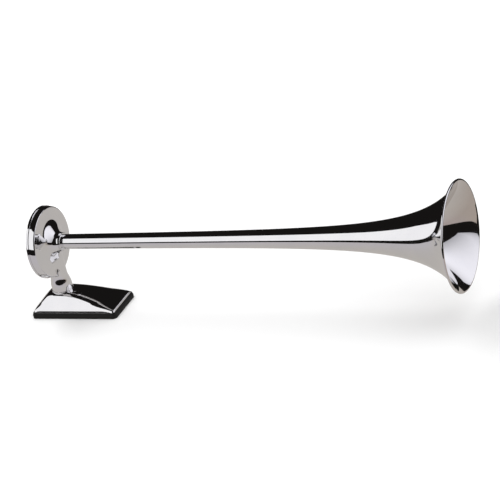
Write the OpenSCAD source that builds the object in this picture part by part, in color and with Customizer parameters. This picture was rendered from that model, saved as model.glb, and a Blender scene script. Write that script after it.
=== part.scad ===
// Marine air horn: a spun trumpet on a diaphragm drum, standing on a swivelling pedestal.
// Millimetres. The origin is the middle of the gasket's underside, where it meets the deck.
// X runs toward the bell, Z runs up, and the trumpet's axis lies in the plane y = 0.

/* [Trumpet] */
// Length from the drum's flat face to the mouth of the bell
horn_len = 518.6; // [400:1:620]
// Outside diameter of the bell's mouth
bell_d = 127; // [100:1:152]
// Outside diameter that the tube narrows toward at the drum end
tube_d = 17.2; // [14:0.2:22]
// Slope of the spun metal at the bell's lip, in degrees
lip_angle = 50; // [40:1:60]
// How sharply the flare opens, from long and gentle to short and late
flare_power = 3; // [2:0.25:5]
// Thickness of the spun sheet
sheet = 0.8; // [0.6:0.1:1.2]
// Diameter of the wire that the rim is rolled over
rim_wire_d = 1.1; // [0.8:0.1:2.4]
// How far round the wire the rim is rolled, in degrees
curl_sweep = 280; // [200:5:285]

/* [Drum and neck] */
// Diameter of the drum's flat face
drum_d = 85; // [76:0.5:100]
// Depth of the drum's side, from its face to the back cover
drum_depth = 8.2; // [7.4:0.1:14]
// How much the side widens toward the cover, on the radius
drum_draft = 1; // [0:0.1:2]
// Thickness of the wall behind the flat face
face_wall = 3; // [2:0.1:4]
// Radius of the face's outer edge
face_edge_r = 0.6; // [0.2:0.1:1.5]
// Diameter on the face where the hollow sweep into the neck begins
sweep_d = 62; // [52:0.5:68]
// Length of the sweep along the axis, from the face to the plain collar
sweep_len = 13.6; // [12.5:0.1:18]
// Radius of the sweep's tighter arc, where it runs into the neck
sweep_knee_r = 9; // [7:0.1:10]
// Plain collar at the end of the neck
collar_len = 1.2; // [0.6:0.1:4]
// Wall of the neck round the ferrule
neck_wall = 1.1; // [0.8:0.1:3]
// Outside diameter of the hub that carries the nozzle
hub_d = 23; // [20:0.5:28]
// How far the hub stops short of the drum's back edge
hub_setback = 1.2; // [0.6:0.1:3]

/* [Back cover] */
// How far the cover's rim stands out past the drum's side
cover_overhang = 0.8; // [0.2:0.1:2]
// Thickness of the cover's rim
cover_rim = 3.3; // [3:0.1:6]
// Radius of the rim's rear edge
cover_edge_r = 1.5; // [0.5:0.1:2.5]
// Rise of the cover's dome behind the rim
dome_rise = 4.4; // [2:0.1:10]
// Thickness of the dome
dome_wall = 2.2; // [1.5:0.1:3]
// Gap between the dome's outline and the screws' washers
dome_margin = 0.4; // [0.1:0.1:2]

/* [Diaphragm stack] */
// Thickness of the diaphragm
diaphragm_t = 0.5; // [0.2:0.1:1]
// Thickness of each clamping gasket
clamp_gasket_t = 0.6; // [0.4:0.1:1.5]
// Width of the ring on which the gaskets press
clamp_land = 3.5; // [2:0.1:6]
// Metal between the clamped ring and the cover screws
clamp_margin = 1.6; // [1:0.1:3]
// How far the diaphragm lifts from the nozzle
lift = 0.4; // [0.2:0.05:1]
// Diameter of the nozzle's body
nozzle_d = 15; // [13:0.5:17]
// Diameter of the nozzle's bore at the diaphragm
nozzle_bore_d = 9; // [6:0.5:10]
// Diameter of the nozzle's bore at the trumpet
nozzle_mouth_d = 12.4; // [8:0.1:12.6]
// Width of the raised seat round the nozzle's bore
seat_w = 1; // [0.6:0.1:1.4]
// Height of the raised seat
seat_h = 0.8; // [0.4:0.1:1.5]

/* [Ferrule] */
// Wall of the ferrule's sleeve
ferrule_wall = 1.2; // [0.8:0.1:2]
// Depth of the ferrule's sleeve in the neck
ferrule_len = 10; // [6:0.5:12]
// Thickness of the ferrule's flange
ferrule_flange_t = 1.2; // [0.6:0.1:3]
// Step from the neck's end down to the flange's edge
ferrule_step = 0.3; // [0:0.1:1]
// Thickness of the seal ring behind the ferrule
seal_d = 1.2; // [0.8:0.1:2]

/* [Column] */
// Height of the trumpet's axis above the deck
axis_h = 91.6; // [84:0.5:120]
// Diameter of the column
column_d = 21; // [19.5:0.5:26]
// Distance of the column's axis behind the drum's face
column_setback = 4.45; // [3:0.05:6]
// Radius of the hollow blends between the column and the drum's face
blend_r = 12; // [4:0.5:14]
// How far the column's foot widens, on the radius
foot_flare = 2.3; // [1:0.1:4]
// Height over which the foot widens
foot_flare_h = 10; // [6:0.5:12]
// Plain band at the very foot
foot_band = 1; // [0.5:0.1:3]
// Diameter of the air passage up to the drum
passage_d = 8; // [5:0.5:9]
// Wall between the air passage and the drum's back edge
passage_wall = 2.85; // [1.5:0.05:3.2]
// Room for air above the clamp bolt's end
plenum_h = 4; // [2:0.5:8]

/* [Base] */
// Length of the base casting
base_len = 111.6; // [100:0.5:140]
// Width of the base casting
base_w = 52.1; // [48:0.5:70]
// Height of the boss's top face above the deck
base_h = 28; // [26:0.5:36]
// Height of the upright band along the casting's lower edge, above the gasket
base_band = 2; // [0.5:0.1:4]
// Corner radius of the base casting in plan
base_corner_r = 3; // [1:0.5:8]
// Distance from the casting's back end to the column's axis
column_inset = 34.2; // [31:0.1:50]
// Height by which the boss stands above the base's crown
boss_rise = 0.6; // [0.2:0.1:2]
// Width of the crown
crown_w = 27.6; // [24:0.2:30]
// Reach of the crown behind the column's axis
crown_back = 15.9; // [14:0.1:18]
// Reach of the crown in front of the column's axis
crown_front = 24.6; // [14:0.1:30]
// Bulge of the long front slope
front_bulge = 1.6; // [0.5:0.1:3]
// Bulge of the short back slope
back_bulge = 0.6; // [0.4:0.1:3]
// Bulge of the two side slopes
side_bulge = 0.4; // [0.3:0.1:2]
// Wall of the base casting
base_wall = 3.5; // [2.5:0.1:5]
// Diameter of the boss that carries the column
boss_d = 26.4; // [25.6:0.1:27.4]
// Thickness of metal from the boss's top face to the bolt's seat
seat_depth = 9; // [7:0.5:12]
// Thickness of the ribs under the casting
rib_t = 2.4; // [1.5:0.1:4]
// Distance of the ribs' lower edges above the casting's own lower edge
rib_setback = 4; // [2:0.5:8]
// Angle at which the two front ribs spread
rib_spread = 55; // [40:1:70]

/* [Deck fixing] */
// Diameter of the tapped holes for the deck screws, as drilled for M6
stud_d = 5; // [4.2:0.1:6.8]
// Depth of the tapped holes
stud_depth = 9.5; // [7:0.5:10]
// Diameter of the bosses round the tapped holes
stud_boss_d = 11; // [9:0.5:12]
// Distance from the casting's back end to the rear hole
rear_stud_inset = 10.8; // [9:0.1:12]
// Distance from the casting's front end to the front hole
front_stud_inset = 20.8; // [16:0.1:40]

/* [Gasket] */
// Thickness of rubber under the casting
pad_floor = 4; // [2:0.5:8]
// Height of the rubber lip round the casting
pad_lip_h = 3; // [1:0.5:5]
// Width of the lip at its foot
pad_lip_w = 2.2; // [1.6:0.1:4]
// How far the lip's outer side leans in
pad_lean = 1.3; // [0.2:0.1:1.4]
// Corner radius of the gasket in plan
pad_corner_r = 4.5; // [3:0.5:10]
// Diameter of the opening for the bolt and the air line
pad_opening_d = 31; // [28:1:36]
// Clearance of the deck screws in the gasket, on the diameter
stud_play = 1.6; // [0.5:0.1:3]

/* [Clamp bolt] */
// Diameter of the clamp bolt's thread
bolt_d = 14; // [12:0.5:15]
// Length of thread engaged in the column
bolt_grip = 12; // [8:0.5:16]
// Diameter of the air bore through the bolt
bolt_bore_d = 8; // [5:0.5:9]
// Size of the bolt's hexagon across its flats
hex_af = 22; // [20:0.5:24]
// Height of the bolt's head
hex_h = 8; // [6:0.5:8.5]
// How far the chamfer of the hexagon's underside reaches inside its flats
hex_chamfer = 0.4; // [0.2:0.1:1]
// Slope of that chamfer, in degrees
hex_chamfer_angle = 28; // [20:1:40]
// Diameter of the tapped air port, as drilled for a G 1/4 thread
port_d = 11.8; // [8.6:0.1:12]
// Depth of the tapped air port
port_depth = 10; // [6:0.5:14]
// Diameter of the flat washer
bolt_washer_d = 28; // [24:0.5:29]
// Thickness of the flat washer
bolt_washer_t = 1.5; // [1:0.1:2.5]
// Width of the spring washer's wire
lock_w = 3.4; // [2:0.1:4]
// Thickness of the spring washer
lock_t = 2.2; // [1:0.1:2.5]
// Width of the slit in the spring washer
lock_slit = 1.6; // [0.8:0.1:3]
// Slant of that slit, in degrees
lock_slit_angle = 20; // [10:1:30]
// Thickness of the seal ring under the column's foot
foot_seal_d = 1.9; // [1.2:0.1:2.2]
// Mean diameter of that seal ring
foot_seal_mid_d = 19.4; // [18.4:0.1:20.4]

/* [Cover screws] */
// Number of cover screws
screw_count = 6; // [4:1:8]
// Diameter of the cover screws
screw_d = 4; // [3:0.1:5]
// Distance of the screws' circle inside the face's edge
screw_inset = 5; // [3.6:0.1:6]
// Length of thread in the drum
screw_grip = 5.6; // [4:0.1:6]
// Diameter of the screws' heads
screw_head_d = 6.6; // [5.5:0.1:8]
// Height of the screws' heads
screw_head_h = 1.9; // [1.5:0.1:4]
// Length of the cross recess in each head
recess_len = 3.6; // [3:0.1:4.5]
// Width of the cross recess
recess_w = 0.8; // [0.5:0.1:1.2]
// Depth of the cross recess
recess_depth = 1.1; // [0.6:0.1:1.4]
// Thickness of the screws' washers
screw_washer_t = 0.6; // [0.5:0.1:1.5]
// How far the washers reach past the heads, on the radius
screw_washer_rim = 0.2; // [0:0.1:0.5]

/* [Fits] */
// Gap between faces that slide on each other
slack = 0.05; // [0.02:0.01:0.2]
// Radial clearance of the clamp bolt where the column turns on the base
turn_fit = 0.08; // [0.02:0.01:0.1]
// Radial clearance of screwed and pushed-in pieces
fit = 0.02; // [0.01:0.01:0.1]
// Radial clearance of screws in plain holes
screw_play = 0.2; // [0.1:0.05:0.4]

/* [Hidden] */
$fn = 96;
// Spare length by which a cutting shape runs past the face that it cuts
over = 1;
// Depth by which a blend cuts into the faces that it joins, so that it crosses them cleanly
BLEND_BITE = 0.02;

// Colours
CHROME = [0.80, 0.81, 0.83];
BLACK = [0.08, 0.08, 0.08];
BRASS = [0.78, 0.62, 0.30];
STEEL = [0.60, 0.61, 0.62];

// Places along X
column_x = column_inset - base_len / 2;
face_x = column_x + column_setback;
flange_x = face_x - drum_depth;
mouth_x = face_x + horn_len;
passage_x = flange_x + passage_wall + passage_d / 2;
rear_stud_x = rear_stud_inset - base_len / 2;
front_stud_x = base_len / 2 - front_stud_inset;

// Flare: the outer radius falls from the lip by a power law, whose length follows from the lip's slope
rim_hole_r = rim_wire_d / 2 + fit;
bead_r = rim_hole_r + sheet;
bead_x = mouth_x - bead_r;
bead_mid_r = bell_d / 2 - bead_r;
lip_x = bead_x + rim_hole_r * sin(lip_angle);
lip_r = bead_mid_r - rim_hole_r * cos(lip_angle);
flare_len = (lip_r - tube_d / 2) * flare_power / tan(lip_angle);
FLARE_STEPS = 36;
// Bunches the steps toward the lip, where the flare bends most
FLARE_BUNCHING = 2.2;
CURL_STEPS = 20;

// Neck and ferrule
spigot_r = flare_r(lip_x - face_x);
sleeve_bore_r = spigot_r + fit;
sleeve_r = sleeve_bore_r + ferrule_wall;
socket_r = sleeve_r + fit;
neck_r = socket_r + neck_wall;
sweep_rise = sweep_d / 2 - neck_r;
// Radius of the sweep's wider arc, which leaves the face and meets the tighter one in line
sweep_r = (sweep_rise * sweep_rise + sweep_len * sweep_len - 2 * sweep_rise * sweep_knee_r)
    / (2 * (sweep_len - sweep_knee_r));
neck_end_x = face_x + sweep_len + collar_len;
ferrule_end_x = neck_end_x - ferrule_len;
socket_end_x = ferrule_end_x - seal_d;
hub_end_x = flange_x + hub_setback;

// Diaphragm stack, from the drum's back edge rearward
screw_circle_r = drum_d / 2 - screw_inset;
stack_r = screw_circle_r - screw_d / 2 - clamp_margin;
diaphragm_x = flange_x - clamp_gasket_t - slack;
rear_gasket_x = diaphragm_x - diaphragm_t - lift - slack;
recess_x = rear_gasket_x - clamp_gasket_t;
chamber_r = stack_r - clamp_land;
cover_r = drum_d / 2 + drum_draft + cover_overhang;
cover_back_x = flange_x - cover_rim;
screw_head_x = cover_back_x - screw_washer_t;
dome_r = screw_circle_r - screw_head_d / 2 - screw_washer_rim - dome_margin;

// Heights
casting_z = pad_floor;
band_z = pad_floor + pad_lip_h + base_band;
crown_z = base_h - boss_rise;
foot_z = base_h + slack;
seat_z = base_h - seat_depth;
washer_z = seat_z - slack - bolt_washer_t;
lock_z = washer_z - lock_t;
head_z = lock_z - hex_h;
bolt_top_z = foot_z + bolt_grip;
plenum_top_z = bolt_top_z + plenum_h;
groove_depth = foot_seal_d + slack;

// Outer radius of the flare at a distance behind the lip
function flare_r(s) =
    tube_d / 2 + (lip_r - tube_d / 2) * pow(1 + s / flare_len, -flare_power);

// Slope of the flare there, in degrees
function flare_slope(s) =
    atan((lip_r - tube_d / 2) * flare_power / flare_len * pow(1 + s / flare_len, -flare_power - 1));

// Radius of an arc of a given chord and bulge
function arc_r(chord, bulge) = (chord * chord / 4 + bulge * bulge) / (2 * bulge);

// Lays a turned section along the trumpet's axis, its own height running toward the bell
module on_axis(x = 0) {
    translate([x, 0, axis_h])
        rotate([0, 90, 0])
            children();
}

// Stands a shape on the column's axis
module on_column(z = 0) {
    translate([column_x, 0, z])
        children();
}

// Repeats a shape round the circle of the cover screws, turned by half a step to clear the air passage
module on_screw_circle(x) {
    for (i = [0 : screw_count - 1])
        on_axis(x)
            rotate((i + 1 / 2) * 360 / screw_count)
                translate([screw_circle_r, 0, 0])
                    children();
}

// Rectangle in the section of a turned shape, from one radius and height to another
module band(r1, r2, h1, h2) {
    translate([r1, h1])
        square([r2 - r1, h2 - h1]);
}

// Ring of round wire
module wire_ring(mid_r, wire_r) {
    rotate_extrude()
        translate([mid_r, 0])
            circle(wire_r, $fn = 32);
}

// Flat ring
module flat_ring(r1, r2, h) {
    rotate_extrude()
        band(r1, r2, 0, h);
}

// Rectangle with rounded corners, exact at every corner
module rounded_plate(l, w, r) {
    square([l - 2 * r, w], center = true);
    square([l, w - 2 * r], center = true);
    for (x = [-1, 1], y = [-1, 1])
        translate([x * (l / 2 - r), y * (w / 2 - r)])
            circle(r);
}

// Slab with rounded corners whose sides lean in over its height
module leaning_slab(l, w, h, r, lean) {
    for (x = [-1, 1], y = [-1, 1])
        translate([x * (l / 2 - r), y * (w / 2 - r), 0])
            cylinder(h = h, r1 = r, r2 = r - lean);
    rotate([90, 0, 0])
        linear_extrude(w - 2 * r, center = true)
            polygon([[-l / 2, 0], [l / 2, 0], [l / 2 - lean, h], [lean - l / 2, h]]);
    rotate([90, 0, 90])
        linear_extrude(l - 2 * r, center = true)
            polygon([[-w / 2, 0], [w / 2, 0], [w / 2 - lean, h], [lean - w / 2, h]]);
}

// Large disc whose edge passes through two points with a given bulge; the body lies right of the way p to q
module bulged_side(p, q, bulge, inset) {
    way = q - p;
    chord = norm(way);
    r = arc_r(chord, bulge);
    inward = [way[1], -way[0]] / chord;
    translate((p + q) / 2 + inward * (r - bulge))
        circle(r - inset, $fn = 360);
}

// Side view of the base: a short steep back slope, a level crown and a long front slope
module base_side_view(inset) {
    half = base_len / 2;
    intersection() {
        bulged_side([-half, band_z], [column_x - crown_back, crown_z], back_bulge, inset);
        bulged_side([column_x + crown_front, crown_z], [half, band_z], front_bulge, inset);
        band(-half - over, half + over, casting_z - over, crown_z - inset);
    }
}

// End view of the base: two slopes that rise to the crown
module base_end_view(inset) {
    half = base_w / 2;
    intersection() {
        bulged_side([-half, band_z], [-crown_w / 2, crown_z], side_bulge, inset);
        bulged_side([crown_w / 2, crown_z], [half, band_z], side_bulge, inset);
        band(-half - over, half + over, casting_z - over, base_h);
    }
}

// Hipped form of the base, drawn in by an inset for its cavity
module base_form(inset = 0) {
    intersection() {
        rotate([90, 0, 0])
            linear_extrude(base_w + 2 * over, center = true)
                base_side_view(inset);
        rotate([90, 0, 90])
            linear_extrude(base_len + 4 * over, center = true)
                base_end_view(inset);
        translate([0, 0, inset > 0 ? casting_z - over / 2 : casting_z])
            linear_extrude(base_h)
                rounded_plate(base_len - 2 * inset, base_w - 2 * inset, base_corner_r);
    }
}

// Boss that carries the column
module column_boss() {
    on_column(seat_z - over)
        cylinder(h = seat_depth + over, d = boss_d);
}

// Bosses for the deck screws and the ribs that join them to the column's boss
module base_stiffeners() {
    for (x = [rear_stud_x, front_stud_x])
        translate([x, 0, casting_z])
            cylinder(h = base_h - casting_z, d = stud_boss_d);
    translate([column_x, -rib_t / 2, casting_z + rib_setback])
        cube([front_stud_x - column_x, rib_t, base_h - casting_z - rib_setback]);
    for (side = [-1, 1])
        translate([front_stud_x, 0, casting_z + rib_setback])
            rotate(side * rib_spread)
                translate([0, -rib_t / 2, 0])
                    cube([base_w / 2, rib_t, base_h]);
}

module base_casting() {
    color(CHROME)
        difference() {
            union() {
                base_form();
                column_boss();
            }
            // Cavity, in which the bosses and the ribs stay
            difference() {
                base_form(base_wall);
                base_stiffeners();
                column_boss();
            }
            // Room for the bolt's head and its washers
            on_column(casting_z - over)
                cylinder(h = seat_z - casting_z + over, d = bolt_washer_d + 2 * over);
            on_column(seat_z - over)
                cylinder(h = seat_depth + 2 * over, r = bolt_d / 2 + turn_fit);
            on_column(base_h - groove_depth)
                flat_ring(
                    (foot_seal_mid_d - foot_seal_d) / 2 - fit, (foot_seal_mid_d + foot_seal_d) / 2 + fit,
                    groove_depth + over
                );
            for (x = [rear_stud_x, front_stud_x])
                translate([x, 0, casting_z - over])
                    cylinder(h = stud_depth + over, d = stud_d);
        }
}

module base_gasket() {
    l = base_len + 2 * pad_lip_w;
    w = base_w + 2 * pad_lip_w;
    color(BLACK)
        difference() {
            union() {
                linear_extrude(pad_floor)
                    rounded_plate(l, w, pad_corner_r);
                translate([0, 0, pad_floor])
                    leaning_slab(l, w, pad_lip_h, pad_corner_r, pad_lean);
            }
            translate([0, 0, pad_floor])
                linear_extrude(pad_lip_h + over)
                    rounded_plate(base_len + 2 * fit, base_w + 2 * fit, base_corner_r);
            on_column(-over)
                cylinder(h = pad_floor + 2 * over, d = pad_opening_d);
            for (x = [rear_stud_x, front_stud_x])
                translate([x, 0, -over])
                    cylinder(h = pad_floor + 2 * over, d = stud_d + stud_play);
        }
}

module foot_seal() {
    color(BLACK)
        on_column(base_h - groove_depth + foot_seal_d / 2)
            wire_ring(foot_seal_mid_d / 2, foot_seal_d / 2);
}

// Section of the hollow sweep: a wide arc off the drum's face and a tighter one into the neck
module sweep_section() {
    start_r = sweep_d / 2;
    wide = [start_r, sweep_r];
    tight = [neck_r + sweep_knee_r, sweep_len];
    // Point where the two arcs meet, on the line through their centres
    meet = wide + (tight - wide) * sweep_r / norm(tight - wide);
    difference() {
        polygon([[0, -face_edge_r], [start_r, -face_edge_r], [start_r, 0], meet, [0, meet[1]]]);
        translate(wide)
            circle(sweep_r, $fn = 360);
    }
    difference() {
        polygon([[0, meet[1]], meet, [neck_r, sweep_len], [0, sweep_len]]);
        translate(tight)
            circle(sweep_knee_r, $fn = 180);
    }
}

// Section of the drum and of its neck, measured from the drum's face
module drum_section() {
    face_r = drum_d / 2;
    back_r = face_r + drum_draft;
    e = face_edge_r;
    polygon([[0, -drum_depth], [back_r, -drum_depth], [face_r, -e], [face_r - e, 0], [0, 0]]);
    translate([face_r - e, -e])
        circle(e, $fn = 32);
    sweep_section();
    band(0, neck_r, sweep_len - e, sweep_len + collar_len);
}

// Section of the column: a plain foot band, a hollow flare and the shaft
module column_section() {
    shaft_r = column_d / 2;
    foot_r = shaft_r + foot_flare;
    flare_top = foot_band + foot_flare_h;
    sweep = (foot_flare_h * foot_flare_h + foot_flare * foot_flare) / (2 * foot_flare);
    band(0, shaft_r, 0, axis_h - foot_z);
    difference() {
        band(0, foot_r, 0, flare_top);
        translate([shaft_r + sweep, flare_top])
            circle(sweep, $fn = 180);
    }
}

// Hollow blends on both sides of the column, where it runs up the drum's face
module column_blends() {
    depth = blend_r + column_setback - BLEND_BITE;
    side = sqrt(pow(column_d / 2 + blend_r - BLEND_BITE, 2) - depth * depth);
    front = column_d / 2 * depth / (column_d / 2 + blend_r) - column_setback;
    intersection() {
        translate([0, 0, axis_h - drum_d / 2])
            linear_extrude(drum_d / 2)
                difference() {
                    translate([face_x - over, -side])
                        square([over + front, 2 * side]);
                    for (y = [-side, side])
                        translate([column_x + depth, y])
                            circle(blend_r, $fn = 180);
                }
        on_axis(face_x - 2 * over)
            cylinder(h = column_d, r = drum_d / 2 - 2 * face_edge_r);
    }
}

module front_housing() {
    color(CHROME)
        difference() {
            union() {
                on_axis(face_x)
                    rotate_extrude()
                        drum_section();
                column_blends();
                difference() {
                    on_column(foot_z)
                        rotate_extrude()
                            column_section();
                    // Room for the back cover
                    on_axis(cover_back_x - column_d)
                        cylinder(h = column_d + cover_rim, r = cover_r + over);
                }
            }
            // Air chamber round the nozzle's hub
            on_axis(flange_x - over)
                flat_ring(hub_d / 2, chamber_r, drum_depth - face_wall + over);
            on_axis(flange_x - over)
                cylinder(h = hub_setback + over, r = chamber_r);
            on_axis(hub_end_x - over)
                cylinder(h = neck_end_x - hub_end_x, r = nozzle_d / 2 + fit);
            on_axis(socket_end_x)
                cylinder(h = neck_end_x - socket_end_x + over, r = socket_r);
            on_screw_circle(flange_x - over)
                cylinder(h = screw_grip + 2 * over, r = screw_d / 2 + fit);
            // Thread for the clamp bolt and the passage up to the chamber
            on_column(foot_z - over)
                cylinder(h = plenum_top_z - foot_z + over, r = bolt_d / 2 + fit);
            translate([passage_x, 0, bolt_top_z])
                cylinder(h = axis_h - chamber_r + passage_d / 2 - bolt_top_z, d = passage_d);
        }
}

module hollow_bolt() {
    chamfer_r = hex_af / 2 - hex_chamfer;
    color(STEEL)
        on_column()
            difference() {
                union() {
                    translate([0, 0, head_z])
                        intersection() {
                            cylinder(h = hex_h, r = hex_af / sqrt(3), $fn = 6);
                            // Chamfers the hexagon's corners at the underside
                            cylinder(h = hex_h, r1 = chamfer_r, r2 = chamfer_r + hex_h / tan(hex_chamfer_angle));
                        }
                    translate([0, 0, lock_z - over])
                        cylinder(h = bolt_top_z - lock_z + over, d = bolt_d);
                }
                translate([0, 0, head_z - over])
                    cylinder(h = port_depth + over, d = port_d);
                translate([0, 0, head_z])
                    cylinder(h = bolt_top_z - head_z + over, d = bolt_bore_d);
            }
}

module bolt_washer() {
    color(STEEL)
        on_column(washer_z)
            flat_ring(bolt_d / 2 + screw_play, bolt_washer_d / 2, bolt_washer_t);
}

module lock_washer() {
    r = bolt_d / 2 + screw_play;
    color(STEEL)
        on_column(lock_z)
            difference() {
                flat_ring(r, r + lock_w, lock_t);
                translate([r + lock_w / 2, 0, lock_t / 2])
                    rotate([lock_slit_angle, 0, 0])
                        cube([lock_w + over, lock_slit, 2 * lock_t], center = true);
            }
}

module ferrule() {
    color(CHROME)
        on_axis()
            rotate_extrude() {
                band(sleeve_bore_r, sleeve_r, ferrule_end_x, neck_end_x);
                band(sleeve_bore_r, neck_r - ferrule_step, neck_end_x, neck_end_x + ferrule_flange_t);
            }
}

module ferrule_seal() {
    color(BLACK)
        on_axis(socket_end_x + seal_d / 2)
            wire_ring(sleeve_r - seal_d / 2, seal_d / 2);
}

// Arc round the rim's wire, from the lip over the front of the mouth and back behind the bell
function curl(r) = [for (i = [0 : CURL_STEPS])
    let (turn = 180 - lip_angle - curl_sweep * i / CURL_STEPS)
    [bead_mid_r + r * cos(turn), bead_x + r * sin(turn)]];

function reversed(points) = [for (i = [len(points) - 1 : -1 : 0]) points[i]];

// The sheet's section runs round the rolled rim, back along the outer line and out along the inner one
module trumpet() {
    tube_len = lip_x - neck_end_x;
    steps = [for (i = [1 : FLARE_STEPS - 1]) tube_len * pow(i / FLARE_STEPS, FLARE_BUNCHING)];
    outer = [for (s = steps) [flare_r(s), lip_x - s]];
    inner = [for (s = steps)
        [flare_r(s) - sheet * cos(flare_slope(s)), lip_x - s + sheet * sin(flare_slope(s))]];
    spigot = [
        [spigot_r, neck_end_x], [spigot_r, ferrule_end_x],
        [spigot_r - sheet, ferrule_end_x], [spigot_r - sheet, neck_end_x]
    ];
    color(CHROME)
        on_axis()
            rotate_extrude($fn = 180)
                polygon(concat(
                    curl(bead_r), reversed(curl(rim_hole_r)), outer, spigot, reversed(inner)
                ));
}

module rim_wire() {
    color(STEEL)
        on_axis(bead_x)
            wire_ring(bead_mid_r, rim_wire_d / 2);
}

module nozzle() {
    seat_r = nozzle_bore_d / 2 + seat_w;
    seat_x = flange_x - clamp_gasket_t;
    color(BRASS)
        on_axis()
            rotate_extrude()
                polygon([
                    [nozzle_bore_d / 2, seat_x], [seat_r, seat_x], [seat_r, seat_x + seat_h],
                    [nozzle_d / 2, seat_x + seat_h], [nozzle_d / 2, socket_end_x],
                    [nozzle_mouth_d / 2, socket_end_x]
                ]);
}

module clamp_gasket(x) {
    color(BLACK)
        on_axis(x)
            flat_ring(chamber_r, stack_r, clamp_gasket_t);
}

module front_gasket() {
    clamp_gasket(flange_x - clamp_gasket_t);
}

module rear_gasket() {
    clamp_gasket(recess_x);
}

module diaphragm() {
    color(STEEL)
        on_axis(diaphragm_x - diaphragm_t)
            cylinder(h = diaphragm_t, r = stack_r);
}

// Section of the back cover, measured rearward from the drum's back edge
module cover_section() {
    e = cover_edge_r;
    ball_r = arc_r(2 * dome_r, dome_rise);
    inner_r = arc_r(2 * chamber_r, dome_rise);
    recess = flange_x - recess_x;
    difference() {
        union() {
            band(0, cover_r - e, 0, cover_rim);
            band(0, cover_r, 0, cover_rim - e);
            translate([cover_r - e, cover_rim - e])
                circle(e, $fn = 32);
            intersection() {
                translate([0, cover_rim + dome_rise - ball_r])
                    circle(ball_r, $fn = 360);
                band(0, dome_r, cover_rim - e, cover_rim + dome_rise);
            }
        }
        band(-over, stack_r + fit, -over, recess);
        intersection() {
            translate([0, cover_rim + dome_rise - dome_wall - inner_r])
                circle(inner_r, $fn = 360);
            band(-over, chamber_r, 0, cover_rim + dome_rise);
        }
        translate([-cover_r, -cover_r])
            square([cover_r, 4 * cover_r]);
    }
}

module back_cover() {
    color(CHROME)
        difference() {
            on_axis(flange_x)
                mirror([0, 0, 1])
                    rotate_extrude()
                        cover_section();
            on_screw_circle(cover_back_x - over)
                cylinder(h = cover_rim + 2 * over, r = screw_d / 2 + screw_play);
        }
}

module cover_washers() {
    color(STEEL)
        on_screw_circle(screw_head_x)
            flat_ring(
                screw_d / 2 + screw_play, screw_head_d / 2 + screw_washer_rim, screw_washer_t
            );
}

// One pan-headed screw: its shank runs up from the head's underside, and a cross is cut in the head
module cover_screw() {
    ball_r = arc_r(screw_head_d, screw_head_h / 2);
    difference() {
        union() {
            cylinder(h = flange_x + screw_grip - screw_head_x, d = screw_d);
            translate([0, 0, -screw_head_h])
                intersection() {
                    cylinder(h = screw_head_h, d = screw_head_d);
                    translate([0, 0, ball_r])
                        sphere(ball_r);
                }
        }
        translate([0, 0, recess_depth / 2 - screw_head_h - over / 2])
            for (turn = [0, 90])
                rotate(turn)
                    cube([recess_len, recess_w, recess_depth + over], center = true);
    }
}

module cover_screws() {
    color(STEEL)
        on_screw_circle(screw_head_x)
            cover_screw();
}

base_gasket();
base_casting();
foot_seal();
front_housing();
hollow_bolt();
bolt_washer();
lock_washer();
ferrule();
ferrule_seal();
trumpet();
rim_wire();
nozzle();
front_gasket();
diaphragm();
rear_gasket();
back_cover();
cover_washers();
cover_screws();
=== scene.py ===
"""Looks of the marine air horn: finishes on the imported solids, smoother meshes over the five plated ones, a
pale floor, and a studio that the chrome reflects."""
import math

import bmesh
import bpy
import numpy as np
from mathutils import Matrix, Vector


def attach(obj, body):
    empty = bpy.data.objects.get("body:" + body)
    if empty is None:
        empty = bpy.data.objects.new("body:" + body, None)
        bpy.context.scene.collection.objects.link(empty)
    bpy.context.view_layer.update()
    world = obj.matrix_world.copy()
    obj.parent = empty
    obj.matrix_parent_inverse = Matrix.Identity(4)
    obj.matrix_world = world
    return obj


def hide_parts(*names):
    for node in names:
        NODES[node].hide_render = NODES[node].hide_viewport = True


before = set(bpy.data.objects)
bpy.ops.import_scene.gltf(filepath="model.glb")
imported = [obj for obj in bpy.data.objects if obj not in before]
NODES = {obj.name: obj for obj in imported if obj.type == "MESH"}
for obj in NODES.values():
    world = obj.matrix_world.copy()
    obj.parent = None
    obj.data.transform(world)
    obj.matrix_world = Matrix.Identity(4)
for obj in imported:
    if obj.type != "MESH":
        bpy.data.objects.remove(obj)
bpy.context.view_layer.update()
MM = 0.001

CHROME_NODES = ("base_casting", "front_housing", "ferrule", "trumpet", "back_cover")
RUBBER_NODES = ("base_gasket", "foot_seal", "ferrule_seal", "front_gasket", "rear_gasket")
STEEL_NODES = ("hollow_bolt", "bolt_washer", "lock_washer", "rim_wire", "diaphragm", "cover_washers",
               "cover_screws")
BRASS_NODES = ("nozzle",)


# Materials

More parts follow.
